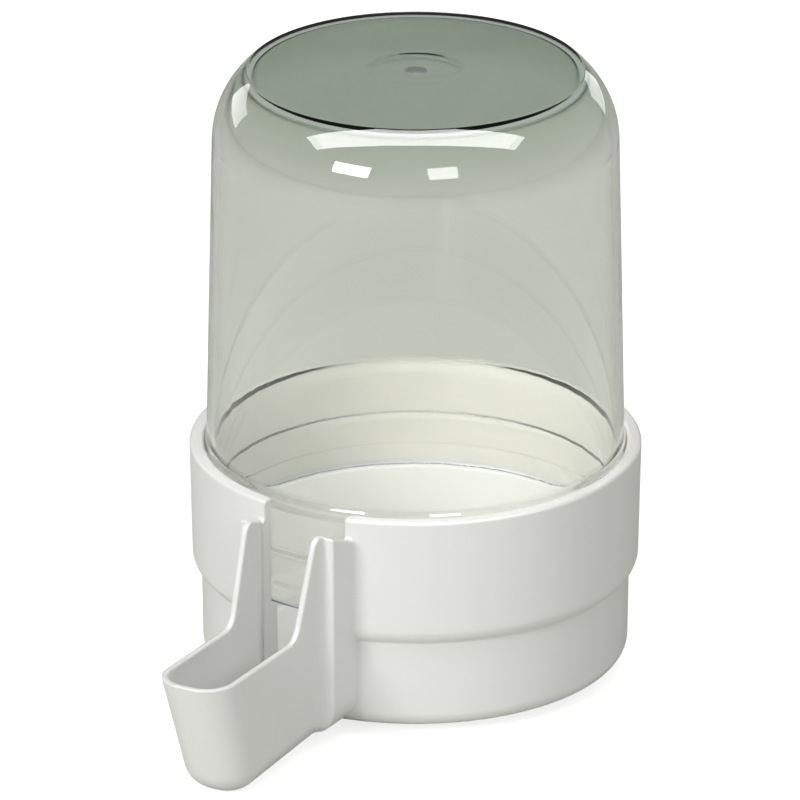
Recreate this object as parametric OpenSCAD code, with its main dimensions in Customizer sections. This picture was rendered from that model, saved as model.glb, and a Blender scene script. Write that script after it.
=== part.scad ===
// Bird drinker: a clear reservoir that stands mouth down in a white base with a spout.
// Z is up. The origin is on the axis of the cup, under its foot, and the spout points along -Y.

/* [Base cup] */
// Outside diameter of the collar at its rim
collar_d = 80; // [72:1:100]
// Height of the rim above the foot
rim_h = 41.8; // [37:0.2:50]
// Height of the ledge that carries the reservoir
ledge_h = 21.8; // [19:0.2:25]
// Width of the ledge, which is also how far the lower cup is set in from the collar
ledge_w = 2; // [1.6:0.1:2.6]
// Thickness of the cup wall
wall = 2.4; // [2:0.1:2.6]
// Thickness of the cup floor
floor_t = 2; // [1.6:0.1:2.6]
// How far below the ledge the collar ends
collar_drop = 3.4; // [2.5:0.1:4]
// How much the collar tapers in from its rim down to its lower edge, on the radius
collar_taper = 0.5; // [0.2:0.1:0.7]
// Radius under the lower edge of the collar
collar_round = 3; // [2.6:0.1:3.6]
// Slope of the side of the lower cup, in degrees
cup_draft = 0.8; // [0:0.1:1.5]
// Diameter of the flat foot under the cup
foot_d = 62; // [50:1:66]
// Height of the foot, which the outer edge of the cup stands clear of the ground
foot_h = 1.8; // [1:0.1:2.4]
// Radius of the outside edge at the bottom of the cup
cup_edge = 3; // [1.5:0.1:3.6]
// Radius on both edges of the rim
rim_round = 0.6; // [0.3:0.1:0.6]
// Radius where the floor meets the wall inside
basin_round = 1.5; // [0.5:0.1:3]

/* [Reservoir] */
// Height of the reservoir from its mouth to its flat top
reservoir_h = 89.2; // [60:0.2:130]
// Thickness of the reservoir wall
reservoir_wall = 1.5; // [1.2:0.1:1.8]
// Slope of the reservoir side, in degrees
reservoir_draft = 1.3; // [0.5:0.1:2.5]
// Radius of the shoulder between the side and the top
shoulder_round = 17; // [13:0.2:18]
// How far below the crest of the shoulder's arc the flat top cuts the arc off
top_cut = 3.9; // [3:0.1:4.5]
// Radius of the edge between the shoulder and the top
top_edge = 1; // [0.6:0.1:1.6]
// Thickness of the top
top_wall = 2; // [1.5:0.1:2.5]
// Gap between the mouth of the reservoir and the bore of the collar
mouth_gap = 0.15; // [0.1:0.05:0.4]
// Height above the mouth of the lower ring bead
bead_low = 3.6; // [2:0.1:5.5]
// Height above the mouth of the middle ring bead
bead_high = 9.6; // [8:0.1:14]
// How far below the rim of the collar the upper ring bead is, which closes the gap there
bead_sink = 0.6; // [0.6:0.1:2]
// Radius of the section of a bead
bead_round = 0.6; // [0.5:0.05:0.8]
// Gap between a bead and the bore of the collar
bead_gap = 0.1; // [0.1:0.05:0.2]
// Diameter of the round step in the middle of the top
step_d = 16.4; // [10:0.2:24]
// Depth of that step
step_depth = 0.2; // [0.1:0.05:0.4]
// Diameter of the gate mark in the middle of the step
gate_d = 5; // [2:0.2:8]
// Height of the gate mark
gate_h = 0.6; // [0.3:0.1:1]

/* [Spout] */
// Reach of the spout beyond the collar
spout_reach = 40.5; // [32:0.5:50]
// Height of the spout rim above the ledge, so that the water stays below the rim
freeboard = 1.9; // [1.2:0.1:4]
// Outside width of the spout at its rim
spout_w = 14.1; // [13:0.1:15]
// Thickness of the spout wall
spout_wall = 1.2; // [1:0.1:1.5]
// Slope of the sides of the spout, in degrees
spout_draft = 1.7; // [0.5:0.1:2.2]
// Fall of the spout bottom towards the tip, in degrees
spout_fall = 3.2; // [1:0.1:4]
// Lean of the tip face, in degrees
tip_lean = 19.5; // [10:0.5:26]
// Radius between the tip face and the bottom
tip_round = 5.4; // [4:0.2:7]
// Radius of the corners of the tip, seen from above
tip_corner = 5.8; // [3.5:0.1:6.2]
// Radius along the bottom edges of the spout
spout_edge = 4.4; // [3:0.1:5]

/* [Neck and ears] */
// Outside width of the neck
neck_w = 19; // [18.6:0.1:21]
// How far the front of the neck stands out from the collar
neck_out = 5.4; // [4.5:0.1:7]
// Thickness of the neck wall
neck_wall = 1; // [0.9:0.1:1.1]
// Height of the underside of the neck
neck_bottom = 2.3; // [2.2:0.1:3]
// Radius along the bottom edges of the neck
neck_edge = 6; // [5:0.1:7]
// Radius of the front bottom edge of the neck
neck_toe = 2.5; // [1.5:0.1:3]
// Radius of the upright front edges of the neck
neck_round = 0.6; // [0.4:0.1:0.7]
// Size of the bead around the spout where it leaves the neck
root_bead = 0.3; // [0.2:0.1:0.5]
// Width of the slot in the wall of the cup
slot_w = 15.9; // [14.6:0.1:16.2]
// Height of the floor of the slot
sill_h = 6.8; // [6.2:0.1:8]
// How far the ears and the neck end below the rim of the collar
ear_drop = 0.9; // [0.8:0.1:2]
// How far the top of the ears and the neck falls from the ear tips back to the collar
top_fall = 2.5; // [1.5:0.1:3.5]
// How far an ear stands out from the neck at its top
ear_top_out = 2.4; // [1.6:0.1:3.5]
// How far an ear stands out from the neck at its foot
ear_foot_out = 8.2; // [7:0.1:11]
// Radius of the top corner of an ear
ear_round = 1.4; // [0.6:0.1:1.5]
// Radius at the foot of an ear
ear_foot_round = 2.2; // [1:0.1:3]

/* [Hidden] */
$fn = 96;

// Radii of the cup
collar_r = collar_d / 2;
collar_bore = collar_r - wall;
lower_r = collar_r - ledge_w;
lower_bore = lower_r - wall;
basin_r = lower_bore + (rim_h - ledge_h) * tan(cup_draft);

// The rounded lower edge of the collar, which ends on the side of the lower cup
step_h = ledge_h - collar_drop;
collar_low_r = collar_r - collar_taper;
step_arc_x = collar_low_r - collar_round;
step_arc_z = step_h + sqrt(pow(collar_round, 2) - pow(lower_r - step_arc_x, 2));

// The reservoir
mouth_r = collar_bore - mouth_gap;
bead_x = collar_bore - bead_gap - bead_round;
bead_top = rim_h - ledge_h - bead_sink;
crest_h = reservoir_h + top_cut;
crest_r = mouth_r - crest_h * tan(reservoir_draft)
    - shoulder_round * (1 - sin(reservoir_draft)) / cos(reservoir_draft);

// The spout and the neck, as distances from the axis of the cup
spout_rim = ledge_h + freeboard;
tip_x = collar_r + spout_reach;
tip_arc_x = tip_x - (tip_round + (spout_rim - tip_round) * sin(tip_lean)) / cos(tip_lean);
corner_spare = 0.15;
neck_x = collar_r + neck_out;
neck_top = rim_h - ear_drop;
ear_top_x = neck_x + ear_top_out;
ear_foot_x = neck_x + ear_foot_out;
ear_lean = atan((ear_foot_x - ear_top_x) / (neck_top - spout_rim));

// What the chamber of the neck leaves standing on the outside of the collar
neck_skin = 0.3;

// Room for cuts that run out of the part, how far two faces that are tangent are made to cross, and
// where the neck and the spout start, inside the basin that is hollowed out after them
out = 10;
hair = 0.002;
root_x = lower_bore - wall;

// A cup seen from the side, from the axis outwards. Its bottom is at y = 0, and its right side
// leans outwards and reaches `reach` at the height h. The corner between them is rounded, and the
// side runs a hair inside the arc, so that they cross.
module cup_outline(reach, h, lean, round) {
    arc_x = reach - h * tan(lean) - round * (1 - sin(lean)) / cos(lean);
    side = round - hair;
    polygon([
        [0, 0],
        [arc_x, 0],
        [arc_x + side * cos(lean), round - side * sin(lean)],
        [reach - hair / cos(lean), h],
        [0, h]
    ]);
    translate([arc_x, round]) circle(round);
}

// What a round fillet fills between a level line through the origin and a side that leans back
module foot_fillet(lean, round) {
    arc_x = round * (1 - sin(lean)) / cos(lean);
    difference() {
        polygon([
            [0, 0],
            [arc_x, 0],
            [arc_x - round * cos(lean), round * (1 - sin(lean))]
        ]);
        translate([arc_x, round]) circle(round);
    }
}

// A rectangle from the axis outwards, with its outer corners rounded
module half_slab(x, width, round) {
    translate([0, -width / 2]) square([x - round, width]);
    translate([0, round - width / 2]) square([x, width - 2 * round]);
    for (side = [-1, 1]) translate([x - round, side * (width / 2 - round)]) circle(round);
}

// The spout seen from above. It is only bounded by the corner arcs at its tip, which start a little
// outside its sides and its tip face, so that they cut them at every height.
module tip_plan(x, half_w, round) {
    half_slab(x + corner_spare, 2 * (half_w + corner_spare), round);
    translate([0, -2 * half_w]) square([x + corner_spare - round, 4 * half_w]);
}

// Turns the spout, drawn along +X, to point along -Y
module along_spout() {
    rotate([0, 0, -90]) children();
}

// Gives a side view, with x outwards and y upwards, a width across the spout
module side_prism(width) {
    rotate([90, 0, 0]) linear_extrude(width, center = true) children();
}

// The outside of the cup: the lower cup, the collar and its rounded lower edge
module cup_outside() {
    rotate_extrude() {
        square([foot_d / 2, foot_h + floor_t]);
        translate([0, foot_h]) cup_outline(lower_r, ledge_h - foot_h, cup_draft, cup_edge);
        translate([0, step_arc_z]) square([collar_bore, rim_h - rim_round - step_arc_z]);
        translate([step_arc_x, step_arc_z]) circle(collar_round);
        polygon([
            [step_arc_x, step_arc_z],
            [collar_low_r, step_arc_z],
            [collar_r, rim_h - rim_round],
            [step_arc_x, rim_h - rim_round]
        ]);
        translate([0, rim_h - rim_round]) square([collar_r - rim_round, rim_round]);
        translate([collar_r - rim_round, rim_h - rim_round]) circle(rim_round);
    }
}

// The hollow of the cup: the basin, the socket of the reservoir and the eased edge of the rim
module cup_hollow() {
    rotate_extrude() {
        translate([0, floor_t]) square([foot_d / 2 - floor_t, ledge_h - floor_t]);
        translate([0, foot_h + floor_t])
            cup_outline(basin_r, rim_h - foot_h - floor_t, cup_draft, basin_round);
        translate([0, ledge_h]) square([collar_bore, rim_h - ledge_h + out]);
        difference() {
            translate([0, rim_h - rim_round]) square([collar_bore + rim_round, rim_round + out]);
            translate([collar_bore + rim_round, rim_h - rim_round]) circle(rim_round);
        }
    }
}

// Turns the trough about the centre of its tip rounding, so that its bottom falls to the tip
module fall_to_tip() {
    translate([tip_arc_x, 0, tip_round]) rotate([0, spout_fall, 0])
        translate([-tip_arc_x, 0, -tip_round]) children();
}

// The space that the spout takes up, inset on all sides by a wall, up to the height top
module spout_space(inset, top) {
    lean = tip_lean - spout_fall;
    half_w = spout_w / 2 - inset;
    round = tip_round - inset;
    reach = tip_arc_x + (round + (top - tip_round) * sin(lean)) / cos(lean);
    fall_to_tip() intersection() {
        side_prism(spout_w * 2) translate([0, inset]) cup_outline(reach, top - inset, lean, round);
        translate([0, 0, inset]) rotate([90, 0, 90]) linear_extrude(tip_x + out) {
            top_w = half_w + (top - spout_rim) * tan(spout_draft);
            for (side = [0, 1]) mirror([side, 0])
                cup_outline(top_w, top - inset, spout_draft, spout_edge - inset);
        }
        translate([tip_arc_x, 0, tip_round]) rotate([0, lean, 0]) linear_extrude(top * 4, center = true)
            translate([-tip_arc_x, 0]) tip_plan(tip_arc_x + round, half_w, tip_corner - inset);
    }
}

// The trough and the two ears that carry its walls up to the neck, before they are hollowed
module spout_outside() {
    intersection() {
        spout_space(0, rim_h + out);
        side_prism(spout_w * 2) translate([root_x, 0]) {
            translate([0, -out]) square([tip_x - root_x + out, spout_rim + out]);
            translate([0, neck_top]) mirror([0, 1])
                cup_outline(ear_foot_x - root_x, neck_top - spout_rim, ear_lean, ear_round);
            translate([ear_foot_x - root_x - 2 * hair, spout_rim]) foot_fillet(ear_lean, ear_foot_round);
        }
    }
}

// A bead around the spout where it leaves the neck
module spout_root() {
    half = spout_w / 2 + root_bead;
    low_z = neck_bottom + neck_toe * 0.9;
    low = half - (spout_rim - low_z) * tan(spout_draft);
    high = half + (neck_top - spout_rim) * tan(spout_draft);
    translate([root_x, 0, 0]) rotate([90, 0, 90]) linear_extrude(neck_x + root_bead - root_x)
        polygon([[-low, low_z], [low, low_z], [high, neck_top], [-high, neck_top]]);
}

// The neck: a narrow box with a rounded bottom on the front of the cup, which stops against the wires
// of a cage
module neck_outside() {
    intersection() {
        linear_extrude(neck_top) half_slab(neck_x, neck_w, neck_round);
        side_prism(neck_w * 2) translate([0, neck_bottom])
            cup_outline(neck_x, neck_top, 0, neck_toe);
        translate([root_x, 0, neck_bottom]) rotate([90, 0, 90]) linear_extrude(neck_x)
            for (side = [0, 1]) mirror([side, 0]) cup_outline(neck_w / 2, neck_top, 0, neck_edge);
    }
}

// What is cut off the ears and the neck, so that their top falls from the ear tips back to the collar
module ear_fall() {
    side_prism(neck_w * 2) polygon([
        [root_x - out, neck_top - top_fall],
        [collar_r, neck_top - top_fall],
        [ear_top_x - ear_round, neck_top],
        [ear_top_x, rim_h + out],
        [root_x - out, rim_h + out]
    ]);
}

// What the water flows through: the slot in the cup wall, the chamber of the neck and the trough
module water_way() {
    chamber_w = neck_w - 2 * neck_wall;
    chamber_x = neck_x - neck_wall;
    translate([0, -slot_w / 2, sill_h]) cube([chamber_x, slot_w, rim_h + out]);
    difference() {
        translate([0, -chamber_w / 2, sill_h]) cube([chamber_x, chamber_w, rim_h + out]);
        cylinder(r = collar_r + neck_skin, h = rim_h + 2 * out);
    }
    intersection() {
        spout_space(spout_wall, rim_h + 2 * out);
        translate([root_x, -spout_w, 0]) cube([tip_x, 2 * spout_w, rim_h + out]);
    }
}

module base() {
    color("white") difference() {
        union() {
            cup_outside();
            along_spout() difference() {
                union() {
                    spout_outside();
                    spout_root();
                    neck_outside();
                }
                ear_fall();
            }
        }
        cup_hollow();
        along_spout() water_way();
    }
}

// The reservoir outline, from the axis outwards, with its mouth at y = 0, inset by a wall. Its shoulder
// is cut off level at the height top.
module reservoir_outline(inset, top) {
    intersection() {
        translate([0, crest_h - inset]) mirror([0, 1])
            cup_outline(mouth_r - inset, crest_h - inset, reservoir_draft, shoulder_round - inset);
        square([mouth_r, top]);
    }
}

// The flat top of that outline and its edge, which runs a hair outside the shoulder, so that they cross
module top_outline() {
    rise = shoulder_round - top_cut - top_edge;
    across = sqrt(pow(shoulder_round - top_edge + hair, 2) - pow(rise, 2));
    translate([crest_r + across, reservoir_h - top_edge]) circle(top_edge);
    square([crest_r + across, reservoir_h - hair]);
    touch = crest_h - shoulder_round + shoulder_round * cos(atan(across / rise));
    reservoir_outline(0, touch);
}

// The round step in the top and the mark of the gate that stands in it
module gate_step() {
    translate([0, 0, reservoir_h - step_depth]) difference() {
        cylinder(d = step_d, h = out);
        cylinder(d1 = gate_d, d2 = gate_d / 2, h = gate_h);
    }
}

module reservoir() {
    color([0.8, 0.84, 0.78, 0.4]) translate([0, 0, ledge_h]) difference() {
        rotate_extrude() {
            top_outline();
            for (h = [bead_low, bead_high, bead_top]) translate([bead_x, h]) circle(bead_round);
        }
        rotate_extrude() reservoir_outline(reservoir_wall, reservoir_h - top_wall);
        gate_step();
    }
}

base();
reservoir();
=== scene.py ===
# %% [markdown]
# # A bird drinker in two mouldings
# A clear reservoir stands mouth down in a white base. Water fills the base up to that mouth and no
# further, because air can only follow when the water in the spout falls below it.
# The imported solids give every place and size. This lesson makes a smooth mesh for each of the two
# mouldings, gives each one its plastic, and sets them on a pale floor under soft light.

# %% Load the frame
import math

import bpy
import numpy as np
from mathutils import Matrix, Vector


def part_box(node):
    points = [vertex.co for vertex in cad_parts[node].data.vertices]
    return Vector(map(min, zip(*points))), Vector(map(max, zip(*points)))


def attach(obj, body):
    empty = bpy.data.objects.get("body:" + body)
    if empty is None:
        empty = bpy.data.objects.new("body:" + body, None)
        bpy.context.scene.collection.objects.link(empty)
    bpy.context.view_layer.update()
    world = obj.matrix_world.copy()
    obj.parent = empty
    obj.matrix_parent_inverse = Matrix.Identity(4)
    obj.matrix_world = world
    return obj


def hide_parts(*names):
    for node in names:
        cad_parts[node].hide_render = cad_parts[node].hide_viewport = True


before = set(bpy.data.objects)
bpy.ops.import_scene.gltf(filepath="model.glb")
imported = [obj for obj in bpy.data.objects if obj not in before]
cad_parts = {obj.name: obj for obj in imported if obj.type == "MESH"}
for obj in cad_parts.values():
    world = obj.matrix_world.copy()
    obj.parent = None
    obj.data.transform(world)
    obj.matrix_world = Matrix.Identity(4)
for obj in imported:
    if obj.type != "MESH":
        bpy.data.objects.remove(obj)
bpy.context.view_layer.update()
base_low, base_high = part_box("base")
reservoir_low, reservoir_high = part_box("reservoir")

# %% [markdown]
# ## Sizes
# A moulding is drawn in millimetres, and Blender works in metres, so the shapes below are worked out
# in millimetres and scaled once, when a mesh is made. The main heights and reaches come from the
# frame. The others repeat the driving dimensions of the part, and a few radii, steps and thin walls differ
# from them by some tenths of a millimetre, for the looks.

# %% Sizes in millimetres
MM = 0.001
rim_z = base_high.z / MM
collar_r = (base_high.x - base_low.x) / 2 / MM
tip_a = -base_low.y / MM
ledge_z = reservoir_low.z / MM
top_z = reservoir_high.z / MM

wall = 2.4
ledge_w = 2.0
bore_r = collar_r - wall
lower_r = collar_r - ledge_w
lower_bore = lower_r - wall
cup_draft = math.radians(0.8)
print(f"rim {rim_z:.1f}, collar radius {collar_r:.1f}, tip {tip_a:.1f}, top {top_z:.1f} mm")

# %% [markdown]
# ## Soft edges and fillets
# The base is one piece with a cup, a neck, a spout and ears that run into each other, and a mould
# leaves a small radius wherever two faces meet. Booleans and a bevel would do it, but a bevel stumbles
# where a sloping trough cuts a round cup. Instead each form is written as a distance: a formula that is
# negative inside, positive outside and zero on the surface. Two formulas then meet with a rounded edge,
# or join with a fillet, and the radius is one number.

# %% Two ways to combine forms
def meet(a, b, r):
    """What is inside both forms, with the edge between them rounded to the radius r."""
    return np.minimum(np.maximum(a, b), -r) + np.hypot(np.maximum(a + r, 0), np.maximum(b + r, 0))


def join(a, b, r):
    """What is inside either form, with a fillet of the radius r between them."""
    return -meet(-a, -b, r)


print("an edge of radius 1 starts", round(float(-meet(np.array(0.0), np.array(0.0), 1.0)), 3), "mm out")

# %% [markdown]
# ## The cup
# The cup is round, so its formulas only need the distance from the axis and the height. The narrow
# lower cup holds the water, the wide collar is the socket of the reservoir, and the ledge between them
# carries the mouth of the reservoir. A low foot under the floor lets the cup and the spout stand level.

# %% The cup
foot_r = 31.0
foot_h = 1.8
floor_t = 2.0
cup_edge = 3.0
collar_taper = 0.5
collar_round = 3.0
collar_low = 18.0
rim_round = 0.65
basin_round = 1.5
dip_round = 0.8
dip_fillet = 0.6
crease = 0.3


def lower_side(r, z, radius):
    """Distance to the side of the lower cup, which opens a little towards the ledge."""
    return (r - radius + (ledge_z - z) * math.tan(cup_draft)) * math.cos(cup_draft)


def cup_outside(r, z):
    lower = meet(lower_side(r, z, lower_r), foot_h - z, cup_edge)
    slope = collar_taper / (rim_z - collar_low)
    collar = meet(r - collar_r + (rim_z - z) * slope, collar_low - z, collar_round)
    cup = meet(join(lower, collar, crease), z - rim_z, rim_round)
    foot = meet(r - foot_r, -z, crease)
    return join(cup, foot, crease)


def cup_hollow(r, z):
    basin = meet(lower_side(r, z, lower_bore), foot_h + floor_t - z, basin_round)
    dip = meet(r - foot_r + floor_t, floor_t - z, dip_round)
    socket = meet(r - bore_r, ledge_z - z, crease)
    return join(join(basin, dip, dip_fillet), socket, crease)


print("collar bore", round(2 * bore_r, 1), "mm, basin", round(2 * lower_bore, 1), "mm across")

# %% [markdown]
# ## The spout
# The spout is a trough with a rounded bottom that falls a little towards its tip, so that it never runs
# dry at the end where the bird drinks. Its tip leans outwards and its corners are round in every
# direction. The same formula, moved in by the thickness of the wall, is the inside of the trough.
# Two ears carry the walls of the trough up beside the neck, and behind their tips the top falls back to the
# collar, so that a wire can lie there.

# %% The spout and its ears
spout_rim = 23.7
spout_half = 7.05
spout_wall = 1.2
spout_draft = math.radians(1.7)
spout_fall = math.radians(3.2)
tip_lean = math.radians(19.5)
tip_round = 5.4
tip_corner = 5.8
spout_edge = 4.8
lip_round = 0.42
tip_arc_a = tip_a - (tip_round + (spout_rim - tip_round) * math.sin(tip_lean)) / math.cos(tip_lean)

neck_a = 45.4
neck_top = 40.9
ear_top_a = neck_a + 2.4
ear_foot_a = neck_a + 8.2
ear_lean = math.atan((ear_foot_a - ear_top_a) / (neck_top - spout_rim))
ear_round = 1.4
ear_foot_round = 2.2
top_fall = 2.5
ear_fall = math.atan(top_fall / (ear_top_a - ear_round - collar_r))
root_a = lower_bore - wall


def trough(x, a, z, inset):
    """Distance to the trough without its top, moved in by inset."""
    da, dz = a - tip_arc_a, z - tip_round
    along = da * math.cos(spout_fall) - dz * math.sin(spout_fall)
    up = da * math.sin(spout_fall) + dz * math.cos(spout_fall)
    half = spout_half + (up + tip_round - spout_rim) * math.tan(spout_draft)
    side = (np.abs(x) - half) * math.cos(spout_draft) + inset
    lean = tip_lean - spout_fall
    tip = along * math.cos(lean) - up * math.sin(lean) - tip_round + inset
    bottom = inset - up - tip_round
    return meet(meet(side, tip, tip_corner - inset), bottom, spout_edge - inset)


def ear_top(a, z):
    """Distance to the top of the ears and the neck, which falls from the ear tips back to the collar."""
    tip = z - neck_top
    fall = (tip + (ear_top_a - ear_round - a) * math.tan(ear_fall)) * math.cos(ear_fall)
    return np.maximum(tip, fall)


def spout_outside(x, a, z):
    behind = (a - ear_foot_a + (z - spout_rim) * math.tan(ear_lean)) * math.cos(ear_lean)
    ear = meet(behind, ear_top(a, z), ear_round)
    top = join(z - spout_rim, ear, ear_foot_round)
    return np.maximum(meet(trough(x, a, z, 0), top, lip_round), root_a - a)


print("spout", round(2 * spout_half, 1), "mm wide, ears lean", round(math.degrees(ear_lean), 1), "degrees")

# %% [markdown]
# ## The neck and the water way
# The neck is a narrow box with a rounded bottom on the front of the cup. Its shoulders stand out past the
# ears and stop against the wires of the cage, while the ears and the spout pass between them. Behind it
# a slot in the wall of the cup lets the water through. All that the water fills is one hollow, which is
# taken out of the whole.

# %% The neck and what the water fills
neck_half = 9.5
neck_wall = 1.0
neck_bottom = 2.3
neck_edge = 6.0
neck_toe = 2.5
neck_round = 0.6
slot_half = 7.95
sill_z = 6.8
neck_skin = 0.3
root_fillet = 0.6
chamber_fillet = 0.1
throat_round = 1.6


def neck_outside(x, a, z):
    round_bottom = meet(np.abs(x) - neck_half, neck_bottom - z, neck_edge)
    front = meet(a - neck_a, neck_bottom - z, neck_toe)
    box = meet(round_bottom, front, neck_round)
    return np.maximum(meet(box, ear_top(a, z), lip_round), root_a - a)


def water_way(x, a, z, r):
    front = a - neck_a + neck_wall
    low = sill_z - z
    slot = np.maximum(meet(np.abs(x) - slot_half, low, crease), np.maximum(front, -a))
    chamber = meet(meet(np.abs(x) - neck_half + neck_wall, front, crease), low, crease)
    chamber = np.maximum(chamber, collar_r + neck_skin - r)
    channel = np.maximum(trough(x, a, z, spout_wall), root_a - a)
    return join(join(slot, chamber, chamber_fillet), channel, throat_round)


def base_form(points):
    """Distance from each point to the surface of the base, in millimetres."""
    x, y, z = points.T
    r, a = np.hypot(x, y), -y
    outside = join(cup_outside(r, z), neck_outside(x, a, z), root_fillet)
    outside = join(outside, spout_outside(x, a, z), root_fillet)
    hollow = join(cup_hollow(r, z), water_way(x, a, z, r), crease)
    return meet(outside, -hollow, lip_round)


test = np.array([[0, 0, 1.0], [0, 0, 30.0], [0, -60, 2.0], [0, -60, 20.0]])
print("floor, socket, trough wall, trough inside:", np.round(base_form(test), 2))

# %% [markdown]
# ## From a formula to a mesh
# A grid of points covers the part, and the formula says on which side of the surface each one lies. Every
# small cell of the grid that the surface passes through gets one point, and four such points around
# a crossed grid line make a face. Only the blocks of the grid that are near the surface are worked out
# finely. Each point is then moved onto the surface along the slope of the formula, and that slope is its
# normal too, so the shading is smooth where the moulding is smooth.

# %% Skin a form
BLOCK = 4


def slope(form, points, reach=0.04):
    """The direction in which the form grows, at each point."""
    steps = np.eye(3) * reach
    return np.stack([form(points + s) - form(points - s) for s in steps], 1) / (2 * reach)


def settle(form, points, rounds=4):
    """Moves points onto the surface of the form."""
    for _ in range(rounds):
        g = slope(form, points)
        points = points - g * (form(points) / np.maximum((g * g).sum(1), 0.2))[:, None]
    return points


def grid_values(form, low, step, blocks):
    """The form on a grid. Blocks of points that are far from the surface share one value."""
    index = np.stack(np.meshgrid(*[np.arange(n) for n in blocks], indexing="ij"), -1)
    middle = low + (index.reshape(-1, 3) * BLOCK + (BLOCK - 1) / 2) * step
    values = form(middle).reshape(blocks)
    for axis in range(3):
        values = np.repeat(values, BLOCK, axis)
    near = np.argwhere(np.abs(values) < step * BLOCK)
    values[tuple(near.T)] = form(low + near * step)
    return values


def skin(form, low, high, step):
    """Points and four-sided faces on the surface of the form, between the corners low and high."""
    blocks = tuple(np.ceil((high - low) / (step * BLOCK)).astype(int))
    values = grid_values(form, low, step, blocks)
    inside = values < 0
    quads, crossings = [], []
    for axis in range(3):
        one = np.eye(3, dtype=int)[axis]
        side_a, side_b = np.eye(3, dtype=int)[(axis + 1) % 3], np.eye(3, dtype=int)[(axis + 2) % 3]
        here = np.take(inside, range(inside.shape[axis] - 1), axis)
        there = np.take(inside, range(1, inside.shape[axis]), axis)
        edge = np.argwhere(here != there)
        d0, d1 = values[tuple(edge.T)], values[tuple((edge + one).T)]
        crossing = edge + one * (d0 / (d0 - d1))[:, None]
        ring = np.stack([edge, edge - side_a, edge - side_a - side_b, edge - side_b], 1)
        outward = inside[tuple(edge.T)]
        ring[~outward] = ring[~outward][:, ::-1]
        quads.append(ring.reshape(-1, 3))
        crossings.append(np.repeat(crossing, 4, 0))
    cells = np.concatenate(quads)
    crossing = np.concatenate(crossings)
    key = np.ravel_multi_index(cells.T, inside.shape)
    _, face = np.unique(key, return_inverse=True)
    face = face.reshape(-1)
    count = np.bincount(face)
    points = np.stack([np.bincount(face, crossing[:, i]) / count for i in range(3)], 1)
    return settle(form, low + points * step), face.reshape(-1, 4)


grid_step = 0.4
margin = 1.0
base_points, base_faces = skin(
    base_form, np.array(base_low) / MM - margin, np.array(base_high) / MM + margin, grid_step)
print(f"base: {len(base_points)} points, {len(base_faces)} faces on a grid of {grid_step} mm")

# %% [markdown]
# ## Put the base in the scene
# On flat faces the grid is finer than it has to be, so the Decimate modifier takes away what adds nothing.
# The points that stay settle on the surface once more, and take their normals from the formula.

# %% The base as an object
kept_share = 0.24


def mesh_object(name, points, faces):
    """An object with a mesh of these points, in millimetres, and these faces."""
    mesh = bpy.data.meshes.new(name)
    mesh.from_pydata((np.asarray(points) * MM).tolist(), [], [tuple(map(int, f)) for f in faces])
    obj = bpy.data.objects.new(name, mesh)
    bpy.context.scene.collection.objects.link(obj)
    return obj


def apply_modifiers(obj):
    shown = obj.evaluated_get(bpy.context.evaluated_depsgraph_get())
    old = obj.data
    obj.data = bpy.data.meshes.new_from_object(shown)
    obj.data.name = obj.name
    obj.modifiers.clear()
    bpy.data.meshes.remove(old)


def mesh_points(mesh):
    points = np.empty(len(mesh.vertices) * 3)
    mesh.vertices.foreach_get("co", points)
    return points.reshape(-1, 3) / MM


def shade_by_form(obj, form):
    """Moves the points of a mesh onto the form, and takes its normals from the form."""
    points = settle(form, mesh_points(obj.data), 2)
    obj.data.vertices.foreach_set("co", (points * MM).ravel())
    normals = slope(form, points)
    normals /= np.linalg.norm(normals, axis=1)[:, None]
    obj.data.shade_smooth()
    obj.data.normals_split_custom_set_from_vertices(normals.tolist())
    obj.data.update()


base = mesh_object("moulded_base", base_points, base_faces)
thin = base.modifiers.new("thin out", "DECIMATE")
thin.ratio = kept_share
apply_modifiers(base)
shade_by_form(base, base_form)
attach(base, "base")
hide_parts("base")
print(f"base: {len(base.data.vertices)} points, {len(base.data.polygons)} faces after thinning out")

# %% [markdown]
# ## The reservoir
# The reservoir is a round cup with a thin wall, so it is turned like a pot: half of its section is drawn as
# a closed line, and the line is spun about the axis. A Screw modifier could spin it, but points laid out
# one by one keep the poles clean and allow exact normals, which matter most on a clear piece.
# The line runs over the flat top with its round step and gate mark, over a small edge onto the wide
# shoulder, down the side past three thin beads to the mouth, and back up the inside.

# %% The section of the reservoir
mouth_gap = 0.15
mouth_r = bore_r - mouth_gap
reservoir_wall = 1.5
top_wall = 1.7
reservoir_draft = math.radians(1.3)
shoulder = 17.0
top_cut = 3.9
top_edge = 0.6
inner_edge = 4.0
mouth_edge = 0.35
beads = ((19.4, 1.8), (9.6, 0.9), (3.6, 0.9))
bead_gap = 0.1
bead_r = bore_r - bead_gap
step_r = 8.2
step_depth = 0.08
step_soft = 1.5
gate_r = 2.5
gate_dip = 0.02
clearance = 2.0

crest_z = top_z + top_cut
shoulder_z = crest_z - shoulder
shoulder_r = (mouth_r - (crest_z - ledge_z) * math.tan(reservoir_draft)
              - shoulder * (1 - math.sin(reservoir_draft)) / math.cos(reservoir_draft))


def arc(cx, cz, radius, start, end, count):
    """Points on an arc about (cx, cz). Angles are from straight up, turning outwards."""
    t = np.linspace(start, end, count)
    return np.stack([cx + radius * np.sin(t), cz + radius * np.cos(t)], 1)


def level(z, start, end, count):
    """Points on a level line, from one distance from the axis to another."""
    r = np.linspace(start, end, count)
    return np.stack([r, np.full(count, z)], 1)


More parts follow.
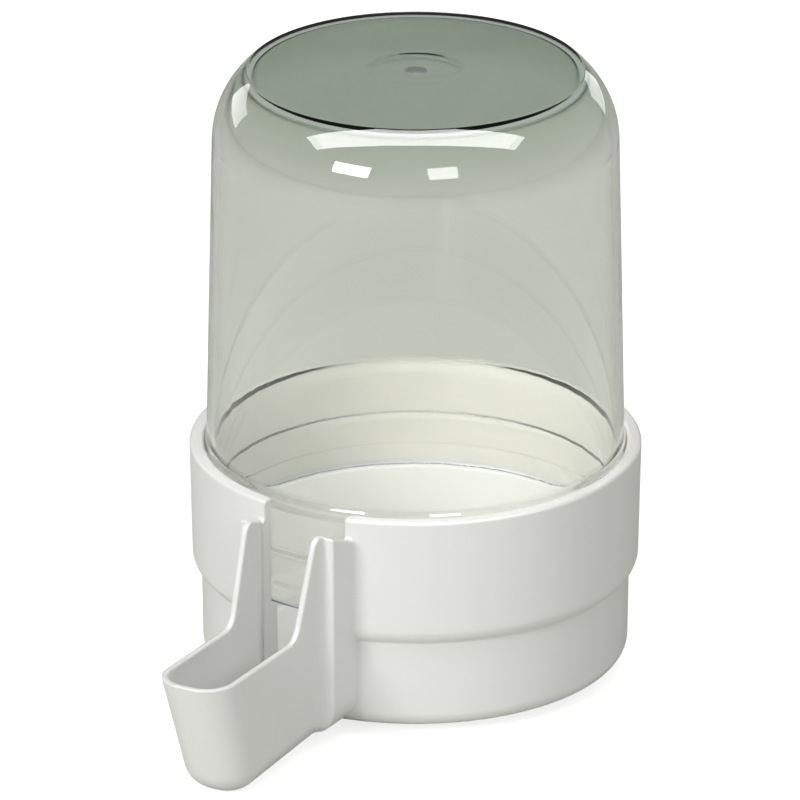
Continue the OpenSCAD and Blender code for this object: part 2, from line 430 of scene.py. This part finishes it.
def cap(inset, flat_z, edge):
    """The level top, the radius of its edge and the shoulder, from the axis outwards, moved in by inset."""
    big = shoulder - inset
    rise = flat_z - edge - shoulder_z
    across = math.sqrt((big - edge) ** 2 - rise ** 2)
    turn = math.atan2(across, rise)
    edge_r = shoulder_r + across
    start = 0 if inset else step_r + step_soft
    end = math.pi / 2 - reservoir_draft
    return np.concatenate([
        level(flat_z, start, edge_r, 16)[:-1],
        arc(edge_r, flat_z - edge, edge, 0, turn, 12)[:-1],
        arc(shoulder_r, shoulder_z, big, turn, end, 40),
    ])


def side_r(z, inset):
    return mouth_r - (z - ledge_z) * math.tan(reservoir_draft) - inset / math.cos(reservoir_draft)


def bead(z, half):
    """A bead on the side at the height z, from above to below."""
    t = np.linspace(-1, 1, 15)
    swell = (bead_r - side_r(z, 0)) * np.cos(t * math.pi / 2) ** 2
    heights = z - t * half
    return np.stack([side_r(heights, 0) + swell, heights], 1)


def top_marks():
    """The gate mark and the round step in the middle of the top, from the axis outwards."""
    floor_z = top_z - step_depth
    t = np.linspace(0, 1, 25)
    dip = step_depth * t ** 2 + gate_dip * np.sin(t * 2 * math.pi) ** 2
    gate = np.stack([t * gate_r, top_z - dip], 1)
    rise = step_depth * (1 - np.cos(t * math.pi)) / 2
    step = np.stack([step_r + step_soft * (t - 0.5), floor_z + rise], 1)
    return np.concatenate([gate, step])


def section():
    """The closed half section of the reservoir, as (distance from the axis, height)."""
    flat = math.pi / 2 + reservoir_draft
    edge_z = ledge_z + mouth_edge
    outer, inner = side_r(ledge_z, 0) - mouth_edge, side_r(ledge_z, reservoir_wall) + mouth_edge
    mouth_out = arc(outer, edge_z, mouth_edge, flat, math.pi, 6)
    mouth_in = arc(inner, edge_z, mouth_edge, math.pi, 3 * math.pi / 2, 6)
    rows = np.linspace(shoulder_z - clearance, ledge_z + beads[0][0] + 1.5 * clearance, 12)
    inner_rows = np.linspace(ledge_z + clearance, shoulder_z - clearance, 14)
    return np.concatenate([
        top_marks(),
        cap(0, top_z, top_edge),
        np.stack([side_r(rows, 0), rows], 1),
        *[bead(ledge_z + height, half) for height, half in beads],
        mouth_out,
        mouth_in,
        np.stack([side_r(inner_rows, reservoir_wall), inner_rows], 1),
        cap(reservoir_wall, top_z - top_wall, inner_edge)[::-1],
    ])


reservoir_section = section()
print(f"section of the reservoir: {len(reservoir_section)} points, shoulder about radius {shoulder_r:.1f} mm")

# %% [markdown]
# ## Spin the section
# The first and the last point lie on the axis and become one point each, with a fan of triangles around
# it. The normal of a point leans towards the longer of the two faces beside it, so that the small edge
# arcs don't bend the shading of the long walls.

# %% The reservoir as an object
def spin(line, turns):
    """Points, faces and normals of a half section spun about the axis."""
    angle = np.arange(turns) * 2 * math.pi / turns
    step = np.diff(line, axis=0)
    length = np.hypot(*step.T)[:, None]
    across = np.stack([-step[:, 1], step[:, 0]], 1) / length
    lean = np.zeros_like(line)
    lean[:-1] += across * length
    lean[1:] += across * length
    lean[[0, -1], 0] = 0
    lean = lean / np.linalg.norm(lean, axis=1)[:, None]
    ring = np.stack([np.cos(angle), np.sin(angle)], 1)

    def around(pair):
        flat = pair[1:-1, None, :1] * ring[None]
        high = np.broadcast_to(pair[1:-1, None, 1:], flat.shape[:2] + (1,))
        body = np.concatenate([flat, high], 2).reshape(-1, 3)
        ends = [[0, 0, pair[0, 1]], [0, 0, pair[-1, 1]]]
        return np.concatenate([body, ends])

    rows = len(line) - 2
    i, j = np.meshgrid(np.arange(rows - 1), np.arange(turns), indexing="ij")
    k = (j + 1) % turns
    quads = np.stack([i * turns + j, (i + 1) * turns + j, (i + 1) * turns + k, i * turns + k], -1)
    j = np.arange(turns)
    k = (j + 1) % turns
    start, end = rows * turns, rows * turns + 1
    first = np.stack([np.full(turns, start), j, k], 1)
    last = np.stack([np.full(turns, end), (rows - 1) * turns + k, (rows - 1) * turns + j], 1)
    faces = [tuple(q) for q in quads.reshape(-1, 4)] + [tuple(t) for t in np.concatenate([first, last])]
    return around(line), faces, around(lean)


points, faces, normals = spin(reservoir_section, 216)
reservoir = mesh_object("clear_reservoir", points, faces)
reservoir.data.shade_smooth()
reservoir.data.normals_split_custom_set_from_vertices(normals.tolist())
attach(reservoir, "reservoir")
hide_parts("reservoir")
print(f"reservoir: {len(reservoir.data.vertices)} points, {len(reservoir.data.polygons)} faces")

# %% [markdown]
# ## What both plastics share
# Both pieces are moulded polystyrene. A polished mould still leaves a faint ripple on the skin, the colour
# clouds a little where the melt flowed, and handling leaves fine scuffs that dull the gloss here and there.
# These are two node groups, which each material uses with values of its own.

# %% Node helpers
def new_group(name, inputs, outputs):
    """An empty node group with value inputs {name: default} and value outputs."""
    tree = bpy.data.node_groups.new(name, "ShaderNodeTree")
    for label, default in inputs.items():
        socket = tree.interface.new_socket(label, in_out="INPUT", socket_type="NodeSocketFloat")
        socket.default_value = default
    for label in outputs:
        tree.interface.new_socket(label, in_out="OUTPUT", socket_type="NodeSocketFloat")
    return tree, tree.nodes.new("NodeGroupInput"), tree.nodes.new("NodeGroupOutput")


def add(tree, kind, links=(), **settings):
    """A node of that kind. links are (input, value or socket); settings are the node's own properties."""
    node = tree.nodes.new(kind)
    for key, value in settings.items():
        setattr(node, key, value)
    for key, value in dict(links).items():
        if isinstance(value, bpy.types.NodeSocket):
            tree.links.new(value, node.inputs[key])
        else:
            node.inputs[key].default_value = value
    return node


def stretched(tree, along):
    """The place on the piece in metres, with its height squeezed, so that a noise runs upwards."""
    place = add(tree, "ShaderNodeTexCoord")
    return add(tree, "ShaderNodeMapping", {"Vector": place.outputs["Object"], "Scale": (1, 1, along)})


print("helpers ready")

# %% The moulded skin
skin_group, group_in, group_out = new_group(
    "moulded skin", {"Cloud size": 60.0, "Ripple size": 900.0}, ("Cloud", "Ripple"))
place = stretched(skin_group, 0.45)
cloud = add(skin_group, "ShaderNodeTexNoise", {
    "Vector": place.outputs["Vector"], "Scale": group_in.outputs["Cloud size"],
    "Detail": 3.0, "Roughness": 0.55})
ripple = add(skin_group, "ShaderNodeTexNoise", {
    "Vector": place.outputs["Vector"], "Scale": group_in.outputs["Ripple size"], "Detail": 2.0})
skin_group.links.new(cloud.outputs["Fac"], group_out.inputs["Cloud"])
skin_group.links.new(ripple.outputs["Fac"], group_out.inputs["Ripple"])
print("group:", skin_group.name)

# %% Fine scuffs
scuff_group, group_in, group_out = new_group("fine scuffs", {"Size": 260.0, "Amount": 0.4}, ("Scuff",))
place = stretched(scuff_group, 0.12)
thread = add(scuff_group, "ShaderNodeTexNoise", {
    "Vector": place.outputs["Vector"], "Scale": group_in.outputs["Size"], "Detail": 4.0, "Roughness": 0.7})
patch = add(scuff_group, "ShaderNodeTexNoise", {"Scale": 35.0, "Detail": 2.0})
scuff_group.links.new(add(scuff_group, "ShaderNodeTexCoord").outputs["Object"], patch.inputs["Vector"])
lines = add(scuff_group, "ShaderNodeMapRange", {
    "Value": thread.outputs["Fac"], "From Min": 0.52, "From Max": 0.78, "To Max": group_in.outputs["Amount"]})
where = add(scuff_group, "ShaderNodeMapRange", {
    "Value": patch.outputs["Fac"], "From Min": 0.35, "From Max": 0.7})
both = add(scuff_group, "ShaderNodeMath", {0: lines.outputs["Result"], 1: where.outputs["Result"]},
           operation="MULTIPLY")
scuff_group.links.new(both.outputs["Value"], group_out.inputs["Scuff"])
print("group:", scuff_group.name)

# %% [markdown]
# ## The white plastic
# The base is white polystyrene with a soft gloss. In the light it is a neutral white, and in the shade it
# turns a little olive, so its colour is a warm white. The gloss comes from the roughness, which the scuffs
# raise, and the ripple of the skin goes through a Bump node.

# %% White plastic
def new_material(name):
    material = bpy.data.materials.new(name)
    material.use_nodes = True
    material.node_tree.nodes.clear()
    return material, material.node_tree, material.node_tree.nodes.new("ShaderNodeOutputMaterial")


def use_group(tree, group, values):
    """The node group, placed in a material with values of its own."""
    return add(tree, "ShaderNodeGroup", values, node_tree=group)


def mix_colours(tree, factor, first, second):
    """The first colour, or a socket with one, where the factor is 0, and the second where it is 1."""
    colours = {key: (*value, 1) if isinstance(value, tuple) else value
               for key, value in (("A", first), ("B", second))}
    return add(tree, "ShaderNodeMix", {"Factor": factor, **colours}, data_type="RGBA").outputs["Result"]


white, tree, out = new_material("white polystyrene")
moulded = use_group(tree, skin_group, {"Cloud size": 45.0, "Ripple size": 700.0})
scuffs = use_group(tree, scuff_group, {"Amount": 0.35})
gloss = add(tree, "ShaderNodeMapRange", {"Value": scuffs.outputs["Scuff"], "To Min": 0.3, "To Max": 0.55})
bump_depth = 0.5 * MM
bump = add(tree, "ShaderNodeBump", {
    "Height": moulded.outputs["Ripple"], "Strength": 0.06, "Distance": bump_depth})
shader = add(tree, "ShaderNodeBsdfPrincipled", {
    "Base Color": mix_colours(tree, moulded.outputs["Cloud"], (0.80, 0.80, 0.785), (0.84, 0.84, 0.825)),
    "Roughness": gloss.outputs["Result"],
    "Normal": bump.outputs["Normal"],
    "IOR": 1.55,
})
tree.links.new(shader.outputs["BSDF"], out.inputs["Surface"])
base.data.materials.clear()
base.data.materials.append(white)
print("material:", white.name)

# %% [markdown]
# ## The clear plastic
# Clear polystyrene bends light more than window glass, and this one has a faint sage tint. The tint is the
# colour of the transmission. It deepens towards the top and is strongest on the top, which is the thickest
# part, and the rest of that darkening is painted shade, so the top looks like a dark disc; it is weaker on
# the shoulder. Towards the mouth, where the light runs along the wall, it turns bluish, a colour painted for
# that light, and the edge there is a little rough. In the middle of the top, the gate broke off and left a
# small rough spot, and a lighter tint there is a painted glint. Lamps shine through the piece: for shadow
# rays it is transparent without bending them, because a bent shadow would come out nearly black. It lets
# less past than clear plastic really does, so that the inside of the base is about as bright as in the
# picture.

# %% Clear plastic
clear, tree, out = new_material("clear polystyrene")
moulded = use_group(tree, skin_group, {"Cloud size": 30.0, "Ripple size": 120.0})
scuffs = use_group(tree, scuff_group, {"Amount": 0.5})
place = add(tree, "ShaderNodeTexCoord")
height = add(tree, "ShaderNodeSeparateXYZ", {"Vector": place.outputs["Object"]})
flat = add(tree, "ShaderNodeVectorMath", {0: place.outputs["Object"], 1: (1, 1, 0)}, operation="MULTIPLY")
radius = add(tree, "ShaderNodeVectorMath", {0: flat.outputs["Vector"]}, operation="LENGTH")


def fade(value, start, end):
    """A mask that rises from 0 to 1 as the value, in metres, goes from start to end in millimetres."""
    node = add(tree, "ShaderNodeMapRange", {"Value": value, "From Min": start * MM, "From Max": end * MM})
    return node.outputs["Result"]


def both_masks(first, second):
    return add(tree, "ShaderNodeMath", {0: first, 1: second}, operation="MULTIPLY").outputs["Value"]


disc_r = 29.9
disc_soft = 1.0
mouth_band = 1.2
high = fade(height.outputs["Z"], shoulder_z, top_z)
at_mouth = fade(height.outputs["Z"], ledge_z + mouth_band, ledge_z)
thick_top_and_shade = both_masks(fade(radius.outputs["Value"], disc_r, disc_r - disc_soft),
                    fade(height.outputs["Z"], top_z - 4, top_z - 3))
gate_and_glint = both_masks(fade(radius.outputs["Value"], gate_r, gate_r * 0.6),
                     fade(height.outputs["Z"], top_z - 1.2, top_z - 0.8))
tint = mix_colours(tree, moulded.outputs["Cloud"], (0.945, 0.96, 0.93), (0.965, 0.975, 0.95))
# The tint deepens up the shoulder and most on the top plate: the plate is thicker, and the rest is painted
# shade that makes the top a dark disc.
tint = mix_colours(tree, high, tint, (0.60, 0.68, 0.59))
tint = mix_colours(tree, thick_top_and_shade, tint, (0.55, 0.63, 0.56))
# Painted light: the bluish tint at the mouth stands in for the light that runs along the wall.
tint = mix_colours(tree, at_mouth, tint, (0.76, 0.78, 0.9))
# Painted glint: the gate's lighter tint makes a light spot; its roughness and bump below are the real rough
# spot.
tint = mix_colours(tree, gate_and_glint, tint, (0.95, 0.96, 0.95))
polish = add(tree, "ShaderNodeMapRange", {"Value": scuffs.outputs["Scuff"], "To Min": 0.015, "To Max": 0.12})
gloss = add(tree, "ShaderNodeMix", {"Factor": at_mouth, "A": polish.outputs["Result"], "B": 0.3})
gloss = add(tree, "ShaderNodeMix", {"Factor": gate_and_glint, "A": gloss.outputs["Result"], "B": 0.5})
broken = add(tree, "ShaderNodeTexNoise", {"Vector": place.outputs["Object"], "Scale": 900.0, "Detail": 2.0})
height_sum = add(tree, "ShaderNodeMath", {
    0: broken.outputs["Fac"], 1: gate_and_glint, 2: moulded.outputs["Ripple"]}, operation="MULTIPLY_ADD")
bump = add(tree, "ShaderNodeBump", {
    "Height": height_sum.outputs["Value"], "Strength": 0.05, "Distance": bump_depth})
glassy = add(tree, "ShaderNodeBsdfPrincipled", {
    "Base Color": tint,
    "Roughness": gloss.outputs["Result"],
    "Normal": bump.outputs["Normal"],
    "IOR": 1.59,
    "Transmission Weight": 1.0,
})
passed = mix_colours(tree, high, (0.81, 0.80, 0.785), (0.63, 0.64, 0.61))
passed = mix_colours(tree, thick_top_and_shade, passed, (0.52, 0.53, 0.5))
open_to_lamps = add(tree, "ShaderNodeBsdfTransparent", {"Color": passed})
ray = add(tree, "ShaderNodeLightPath")
surface = add(tree, "ShaderNodeMixShader", {"Fac": ray.outputs["Is Shadow Ray"]})
tree.links.new(glassy.outputs["BSDF"], surface.inputs[1])
tree.links.new(open_to_lamps.outputs["BSDF"], surface.inputs[2])
tree.links.new(surface.outputs["Shader"], out.inputs["Surface"])
reservoir.data.materials.clear()
reservoir.data.materials.append(clear)
print("material:", clear.name)

# %% [markdown]
# ## Camera
# The photograph is taken with a long lens from a little above, from the right of the spout. The camera
# stands two metres away, and its target is a little beside the axis, so that the drinker sits in the frame
# as it does in the picture.

# %% Camera
picture = 800
view_azimuth = math.radians(29.7)
view_elevation = math.radians(21.99)
view_distance = 2.0
sensor = 36
focal_px = 11329.75
axis_px = (415.5, 381.81)
axis_point = Vector((0, 0, 52.2 * MM))

toward_camera = Vector((math.sin(view_azimuth) * math.cos(view_elevation),
                        -math.cos(view_azimuth) * math.cos(view_elevation),
                        math.sin(view_elevation)))
camera_right = Vector((math.cos(view_azimuth), math.sin(view_azimuth), 0))
camera_up = toward_camera.cross(camera_right)
metres_per_px = view_distance / focal_px
target = (axis_point + camera_right * (picture / 2 - axis_px[0]) * metres_per_px
          + camera_up * (axis_px[1] - picture / 2) * metres_per_px)

camera = bpy.data.objects.new("camera", bpy.data.cameras.new("camera"))
bpy.context.scene.collection.objects.link(camera)
camera.location = axis_point + toward_camera * view_distance
camera.rotation_euler = (camera.location - target).to_track_quat("Z", "Y").to_euler()
camera.data.sensor_width = sensor
camera.data.lens = sensor * focal_px / picture
bpy.context.scene.camera = camera
print(f"camera: {camera.data.lens:.0f} mm lens at {view_distance} m")

# %% [markdown]
# ## Floor and surround
# The picture has a white ground, but what shows through the clear walls is a light grey. So the floor is
# a pale sheet that the lamps light plainly, and a lift makes it white to the camera. Rays that went through
# the clear plastic get a smaller lift, and rays off its skin get none. The surround has levels of the same
# kind. Light that has bounced off a white wall sees neither lift, so the background doesn't light the
# inside of the cup.

# %% Floor and surround
def ray_level(tree, light, shine, through, camera):
    """A value that depends on the ray: lighting, a reflection, through a clear piece, or the camera."""
    ray = add(tree, "ShaderNodeLightPath")
    direct = add(tree, "ShaderNodeMath", {0: ray.outputs["Diffuse Depth"], 1: 0.5}, operation="LESS_THAN")
    level = light
    levels = {"Is Glossy Ray": shine, "Is Transmission Ray": through, "Is Camera Ray": camera}
    for label, value in levels.items():
        seen = add(tree, "ShaderNodeMath", {0: ray.outputs[label], 1: direct.outputs["Value"]},
                   operation="MULTIPLY")
        step = add(tree, "ShaderNodeMix", {"Factor": seen.outputs["Value"], "A": level, "B": value})
        level = step.outputs["Result"]
    return level


half = 4000
floor_drop = 0.2
corners = [(-half, -half, 0), (half, -half, 0), (half, half, 0), (-half, half, 0)]
floor = mesh_object("floor", corners, [(0, 1, 2, 3)])
floor.location.z = -floor_drop * MM
paper, tree, out = new_material("pale paper")
lit = add(tree, "ShaderNodeBsdfDiffuse", {"Color": (0.58, 0.59, 0.54, 1)})
lift = add(tree, "ShaderNodeEmission", {"Strength": ray_level(tree, 0.0, 0.0, 0.13, 0.75)})
sum_up = add(tree, "ShaderNodeAddShader", {0: lit.outputs["BSDF"], 1: lift.outputs["Emission"]})
tree.links.new(sum_up.outputs["Shader"], out.inputs["Surface"])
floor.data.materials.append(paper)

world = bpy.data.worlds.new("surround")
bpy.context.scene.world = world
world.use_nodes = True
tree = world.node_tree
tree.nodes.clear()
out = add(tree, "ShaderNodeOutputWorld")
sky = add(tree, "ShaderNodeBackground", {"Strength": ray_level(tree, 0.22, 0.12, 0.69, 1.0)})
sky.inputs["Color"].default_value = (1, 1, 1, 1)
tree.links.new(sky.outputs["Background"], out.inputs["Surface"])
print("floor and surround are white to the camera")

# %% [markdown]
# ## Lamps
# Five softboxes light the drinker, and a card overhead, which only shows in reflections, draws the white
# band on the shoulder of the reservoir. It hangs a little nearer than the softbox overhead, so that they
# don't hide each other. Two softboxes in front draw the small windows below the band. The one at the front
# left is the main light, and it leaves the right side of the spout in shade. Two dim ones behind put
# a glint on each flank of the shoulder, and a wide fill, which doesn't show in reflections, lights the back.

# %% Lamps
piece_middle = Vector((0, 0, 90 * MM))


def from_camera(azimuth, elevation, distance):
    """A place around the piece, with the azimuth counted from the camera, to its right."""
    a = view_azimuth + math.radians(azimuth)
    e = math.radians(elevation)
    way = Vector((math.sin(a) * math.cos(e), -math.cos(a) * math.cos(e), math.sin(e)))
    return piece_middle + distance * way


def softbox(name, place, width, height, brightness):
    """An area lamp that faces the piece. Its power follows from its brightness and its size.

    Rays bent by the clear plastic pass it by, because its light already comes through as shadow rays.
    """
    lamp = bpy.data.lights.new(name, "AREA")
    lamp.shape = "RECTANGLE"
    lamp.size, lamp.size_y = width, height
    lamp.energy = brightness * math.pi * width * height
    obj = bpy.data.objects.new(name, lamp)
    bpy.context.scene.collection.objects.link(obj)
    obj.location = place
    obj.rotation_euler = (place - piece_middle).to_track_quat("Z", "Y").to_euler()
    obj.visible_transmission = False
    return obj


lamps = [
    softbox("softbox overhead", from_camera(0, 68.5, 0.9), 1.85, 0.33, 2.2),
    softbox("softbox front left", from_camera(-38, 23.5, 1.3), 0.46, 0.26, 22.0),
    softbox("softbox front right", from_camera(16, 25, 1.3), 0.36, 0.3, 9.0),
    softbox("softbox back left", from_camera(-136, 10, 1.3), 0.5, 0.3, 3.0),
    softbox("softbox back right", from_camera(150, 4, 1.3), 0.4, 0.3, 2.0),
]
shine = softbox("card overhead", from_camera(0, 68.5, 0.88), 2.1, 0.32, 8.0)
shine.visible_diffuse = False
fill = softbox("fill behind", from_camera(180, 35, 1.3), 1.0, 0.6, 1.3)
fill.visible_glossy = False
print("lamps:", ", ".join(lamp.name for lamp in (*lamps, shine, fill)))

# %% [markdown]
# ## Finish
# The view transform stays plain, so that a colour comes out about as it is written.

# %% Finish
bpy.context.scene.view_settings.view_transform = "Standard"
